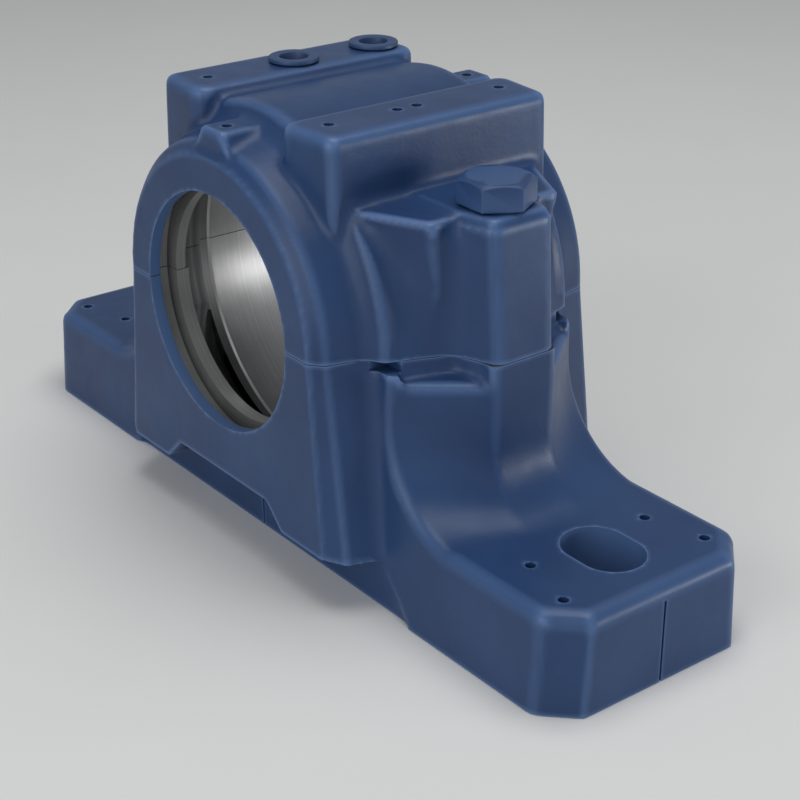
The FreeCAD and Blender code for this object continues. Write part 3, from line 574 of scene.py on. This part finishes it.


# %% [markdown]
# ### Satin blue enamel
# Alkyd enamel is sprayed over the cast iron. It is satin, so lights are broad and soft.
# The sand's grain shows through as a faint ripple about a millimetre wide. The colour
# drifts a little from thick to thin paint over some centimetres. Along the broken edges a
# paler blue is mixed in as a painted highlight. Pointiness finds those: it is a half on a flat
# surface and more on a ridge.

# %% Spray the enamel
def enamel(name, deep, plain, edge, grain, ripple):
    """Sprayed enamel: deep and plain blue in clouds, a painted highlight at edges, over a grained
    metal.
    """
    material, tree, shader = finish(name, Roughness=0.38, Specular_IOR_Level=0.32)
    place = add(tree, "TexCoord", {}, {}).outputs["Object"]
    clouds = add(tree, "TexNoise", {"Vector": place}, {"Scale": per_mm(38), "Detail": 3.0})
    drift = add(tree, "MapRange", {"Value": clouds.outputs["Fac"]},
                {"From Min": 0.35, "From Max": 0.65})
    body = add(tree, "Mix", {"Factor": drift.outputs["Result"]},
               {"data_type": "RGBA", FIRST: rgb(deep), SECOND: rgb(plain)})
    # Pointiness finds the ridges, where a paler blue is mixed in as a painted highlight.
    sharp = add(tree, "NewGeometry", {}, {}).outputs["Pointiness"]
    edge_highlight_share = add(tree, "MapRange", {"Value": sharp},
               {"From Min": 0.503, "From Max": 0.54, "To Max": 0.7})
    paint = add(tree, "Mix", {"Factor": edge_highlight_share.outputs["Result"], FIRST: body.outputs[MIXED]},
                {"data_type": "RGBA", SECOND: rgb(edge)})
    tree.links.new(paint.outputs[MIXED], shader.inputs["Base Color"])
    patches = add(tree, "TexNoise", {"Vector": place}, {"Scale": per_mm(9), "Detail": 4.0})
    gloss = add(tree, "MapRange", {"Value": patches.outputs["Fac"]},
                {"From Min": 0.3, "From Max": 0.7, "To Min": 0.34, "To Max": 0.42})
    tree.links.new(gloss.outputs["Result"], shader.inputs["Roughness"])
    sand = add(tree, "TexNoise", {"Vector": place}, {"Scale": per_mm(grain), "Detail": 3.0})
    near = add(tree, "Bump", {"Height": sand.outputs["Fac"]},
               {"Strength": 1.0, "Distance": ripple * MM})
    swell = add(tree, "TexNoise", {"Vector": place}, {"Scale": per_mm(8), "Detail": 1.0})
    wide = add(tree, "Bump", {"Height": swell.outputs["Fac"], "Normal": near.outputs["Normal"]},
               {"Strength": 1.0, "Distance": 0.12 * MM})
    tree.links.new(wide.outputs["Normal"], shader.inputs["Normal"])
    return material


# The third colour of each enamel is the paler blue of its painted edge highlight.
casting_paint = enamel("satin_blue_enamel_on_cast_iron",
                       "#223A62", "#28446E", "#5C7AA9", 1.1, 0.035)
bolt_paint = enamel("satin_blue_enamel_on_forged_steel",
                    "#1C3560", "#21406C", "#44608C", 0.8, 0.012)
print("enamels:", casting_paint.name, "and", bolt_paint.name)

# %% [markdown]
# ### Bare iron
# The lathe leaves fine rings: along the bore they follow each other in the shaft's
# direction, and on the end walls they lie one round the other. Both are lines of equal
# distance along the shaft plus distance from it, so one sum draws them all. The real
# feed of a quarter millimetre is too fine to show, so the rings are drawn wider. The
# graphite in cast iron makes a cut face duller than steel, so it is only half metallic.

# %% Turn, mill and grind the metal
def bare_metal(name, dark, bright, rough, line, depth, turned_rings):
    """Cut metal with tool lines: rings about the shaft, or straight lines along X."""
    material, tree, shader = finish(name, Metallic=0.5)
    place = add(tree, "TexCoord", {}, {}).outputs["Object"]
    if turned_rings:
        centred = add(tree, "Mapping", {"Vector": place}, {"Location": (0, 0, -PARTING)})
        flat = add(tree, "VectorMath", {0: centred.outputs["Vector"]},
                   {"operation": "MULTIPLY", 1: (1, 0, 1)})
        radius = add(tree, "VectorMath", {0: flat.outputs["Vector"]}, {"operation": "LENGTH"})
        split = add(tree, "SeparateXYZ", {"Vector": place}, {})
        along = add(tree, "Math", {0: radius.outputs["Value"], 1: split.outputs["Y"]},
                    {"operation": "ADD"})
        step = along.outputs["Value"]
    else:
        step = add(tree, "SeparateXYZ", {"Vector": place}, {}).outputs["Y"]
    rings = add(tree, "TexNoise", {"W": step},
                {"noise_dimensions": "1D", "Scale": per_mm(line), "Detail": 2.0})
    stain = add(tree, "TexNoise", {"Vector": place}, {"Scale": per_mm(14), "Detail": 4.0})
    both = add(tree, "Math", {0: rings.outputs["Fac"], 1: stain.outputs["Fac"]},
               {"operation": "MULTIPLY"})
    share = add(tree, "MapRange", {"Value": both.outputs["Value"]},
                {"From Min": 0.15, "From Max": 0.4})
    tint = add(tree, "Mix", {"Factor": share.outputs["Result"]},
               {"data_type": "RGBA", FIRST: rgb(dark), SECOND: rgb(bright)})
    tree.links.new(tint.outputs[MIXED], shader.inputs["Base Color"])
    gloss = add(tree, "MapRange", {"Value": stain.outputs["Fac"]},
                {"From Min": 0.3, "From Max": 0.7, "To Min": rough - 0.05, "To Max": rough + 0.05})
    tree.links.new(gloss.outputs["Result"], shader.inputs["Roughness"])
    bump = add(tree, "Bump", {"Height": rings.outputs["Fac"]},
               {"Strength": 1.0, "Distance": depth * MM})
    tree.links.new(bump.outputs["Normal"], shader.inputs["Normal"])
    return material


turned_iron = bare_metal("turned_cast_iron", "#A4A4A3", "#BEBEBC", 0.36, 0.8, 0.003, True)
# The groove walls and the relief take this darker copy of the turned iron as painted shade.
faced_iron_painted_shade = bare_metal("faced_groove_iron_with_painted_shade", "#7C7C7C", "#929291", 0.42, 0.8, 0.004, True)
seat_iron = bare_metal("fine_turned_bearing_seat", "#BCBCBC", "#CECECD", 0.34, 0.6, 0.001, True)
# The seat's edge step is near-white: a painted highlight for the bright line where the seat begins.
seat_edge_highlight = bare_metal("seat_edge_painted_highlight", "#E6E6E4", "#F2F2F0", 0.4, 0.6, 0.001, True)
# Its darker grey also draws the painted shade line in the groove's inner corner.
cavity_iron_and_corner_shade = bare_metal("rough_turned_cavity_iron_and_corner_shade", "#6A6B6C", "#868687", 0.5, 1.6, 0.03, True)
milled_iron = bare_metal("milled_cast_iron", "#4A4B4D", "#6E6F6F", 0.38, 0.9, 0.008, False)
ground_steel = bare_metal("ground_dowel_steel", "#8E8E8E", "#B8B8B8", 0.22, 0.5, 0.002, False)
print("metals:", [metal.name for metal in (turned_iron, faced_iron_painted_shade, seat_iron, seat_edge_highlight,
                                           cavity_iron_and_corner_shade, milled_iron, ground_steel)])

# %% [markdown]
# ### Moulded plugs
# The plugs are injection moulded polyethylene in the same blue: a waxy, even surface
# with a faint spark-eroded texture, a little softer in its lights than the enamel.

# %% Colour the plugs
plug_plastic, tree, shader = finish("moulded_blue_polyethylene", Roughness=0.48,
                                    IOR=1.51, Subsurface_Weight=0.05)
shader.inputs["Subsurface Radius"].default_value = [depth * MM for depth in (0.8, 1.0, 1.6)]
place = add(tree, "TexCoord", {}, {}).outputs["Object"]
spark = add(tree, "TexNoise", {"Vector": place}, {"Scale": per_mm(0.6), "Detail": 2.0})
shade = add(tree, "Mix", {"Factor": spark.outputs["Fac"]},
            {"data_type": "RGBA", FIRST: rgb("#233C63"), SECOND: rgb("#2B4871")})
tree.links.new(shade.outputs[MIXED], shader.inputs["Base Color"])
bump = add(tree, "Bump", {"Height": spark.outputs["Fac"]}, {"Strength": 1.0, "Distance": 0.01 * MM})
tree.links.new(bump.outputs["Normal"], shader.inputs["Normal"])
print("plastic:", plug_plastic.name)

# %% [markdown]
# ### Where each finish lies
# The enamel runs over the chamfer of the shaft opening and its outer land, and stops at
# the seal groove. Everything the lathe cut behind it is bare, the seat finest. A darker grey on
# the groove's walls and the relief is painted shade, the thin dark band in the groove's inner
# corner is a painted shade line, and the near-white seat edge step is a painted highlight.
# The parting planes and the underside are milled.
# A face of the bore gets the finish of the stretch of the bore's profile that it lies on.

# %% Judge a face by its place
PAINT, TURNED, SEAT, CAVITY_AND_CORNER_SHADE, MILLED, FACED_PAINTED_SHADE, PAINTED_SEAT_HIGHLIGHT = range(7)
CASTING_MATERIALS = (casting_paint, turned_iron, seat_iron, cavity_iron_and_corner_shade, milled_iron,
                     faced_iron_painted_shade, seat_edge_highlight)
# Along the profile, the 0.4 mm stretch at the groove's inner corner takes the dark cavity grey as a
# painted shade line.
BORE_FINISHES = [PAINT, PAINT, PAINT, FACED_PAINTED_SHADE, TURNED, CAVITY_AND_CORNER_SHADE, FACED_PAINTED_SHADE, TURNED, CAVITY_AND_CORNER_SHADE, CAVITY_AND_CORNER_SHADE,
                 CAVITY_AND_CORNER_SHADE, CAVITY_AND_CORNER_SHADE, FACED_PAINTED_SHADE, PAINTED_SEAT_HIGHLIGHT, SEAT, SEAT]
NEAR_ENOUGH = 0.06
SUMP_SLACK = 0.1


def casting_finish(middle, normal, profile):
    """Which finish a face of a casting shows: its place in the list of materials."""
    if abs(normal.z) > 0.999 and (abs(middle.z - PARTING) < 2 * GAP or middle.z < 0.1 * MM):
        return MILLED
    along = abs(middle.y) / MM
    radius = math.hypot(middle.x, middle.z - PARTING) / MM
    here = Vector((along, radius))
    for (start, skin), (end, _) in zip(profile, profile[1:]):
        run = end - start
        share = max(0, min(1, (here - start).dot(run) / run.length_squared))
        if (start + run * share - here).length < NEAR_ENOUGH:
            return skin
    from_sump = math.hypot(middle.x, middle.z - PARTING + SUMP_DROP * MM) / MM
    in_sump = SUMP_START - SUMP_SLACK < along < SUMP_END + SUMP_SLACK
    return CAVITY_AND_CORNER_SHADE if in_sump and from_sump < SUMP_RADIUS + SUMP_SLACK else PAINT


# %% Give every face its finish
for piece, wall in ((base, BASE_WALL), (cap, CAP_WALL)):
    piece.data.materials.clear()
    for material in CASTING_MATERIALS:
        piece.data.materials.append(material)
    profile = [(Vector(station), skin)
               for station, skin in zip(bore_profile(wall), BORE_FINISHES)]
    for face in piece.data.polygons:
        face.material_index = casting_finish(face.center, face.normal, profile)
for piece, material in ((bolt_right, bolt_paint), (bolt_left, bolt_paint),
                        (plug_centre, plug_plastic), (plug_side, plug_plastic),
                        (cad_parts["dowel_pin_front"], ground_steel),
                        (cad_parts["dowel_pin_rear"], ground_steel)):
    piece.data.materials.clear()
    piece.data.materials.append(material)
print("materials:", sorted(material.name for material in bpy.data.materials if material.users))

# %% [markdown]
# ## Stage and light
# A pale floor under four square lamps, as in a product studio. Three wide ones stand in
# front, overhead and, much weaker, to the right. A small one stands low behind on the
# right, and draws the bright streak on the bearing seat through the far opening. The
# room itself is dim, so that hollows stay dark. Rays that come from the camera, or off a
# gloss or through a glass, see it brighter, which gives a pale backdrop and lively metal.

# %% Lay the floor
bpy.ops.mesh.primitive_plane_add(size=8, location=(0, 0, -0.2 * MM))
floor = bpy.context.object
floor.name = "floor"
floor_paint, tree, shader = finish("pale_studio_floor", Roughness=0.9)
place = add(tree, "TexCoord", {}, {}).outputs["Object"]
haze = add(tree, "TexNoise", {"Vector": place}, {"Scale": per_mm(60), "Detail": 2.0})
tone = add(tree, "Mix", {"Factor": haze.outputs["Fac"]},
           {"data_type": "RGBA", FIRST: rgb("#E4E4E2"), SECOND: rgb("#E8E8E6")})
tree.links.new(tone.outputs[MIXED], shader.inputs["Base Color"])
floor.data.materials.append(floor_paint)
print("floor:", floor.dimensions.x, "m square")

# %% Light the room
DIM, SHOWN = 0.22, 0.45
LIT_POINT = Vector((0, 0, 0.06))
LAMPS = {"key": ((0.3, -1.02, 0.5), 0.9, 5.1), "top": ((0.1, 0.1, 1.1), 0.8, 6.3),
         "right": ((1.15, -0.5, 0.4), 0.8, 0.7), "streak": ((0.72, 0.68, 0.06), 0.3, 3.6)}

world = bpy.data.worlds.new("studio")
bpy.context.scene.world = world
world.use_nodes = True
air = world.node_tree.nodes["Background"]
air.inputs["Color"].default_value = rgb("#DDE2E8")
rays = add(world.node_tree, "LightPath", {}, {})
seen = add(world.node_tree, "Math", {0: rays.outputs["Is Camera Ray"],
                                     1: rays.outputs["Is Glossy Ray"]}, {"operation": "ADD"})
shown = add(world.node_tree, "Math", {0: seen.outputs["Value"],
                                      1: rays.outputs["Is Transmission Ray"]}, {"operation": "ADD"})
level = add(world.node_tree, "MapRange", {"Value": shown.outputs["Value"]},
            {"To Min": DIM, "To Max": SHOWN})
world.node_tree.links.new(level.outputs["Result"], air.inputs["Strength"])
for name, (place, size, power) in LAMPS.items():
    place = Vector(place)
    turn = (LIT_POINT - place).to_track_quat("-Z", "Y").to_euler()
    bpy.ops.object.light_add(type="AREA", location=place, rotation=turn)
    lamp = bpy.context.object
    lamp.name = name
    lamp.data.size = size
    lamp.data.energy = power
bpy.context.scene.view_settings.view_transform = "Standard"
print("lamps:", ", ".join(LAMPS))
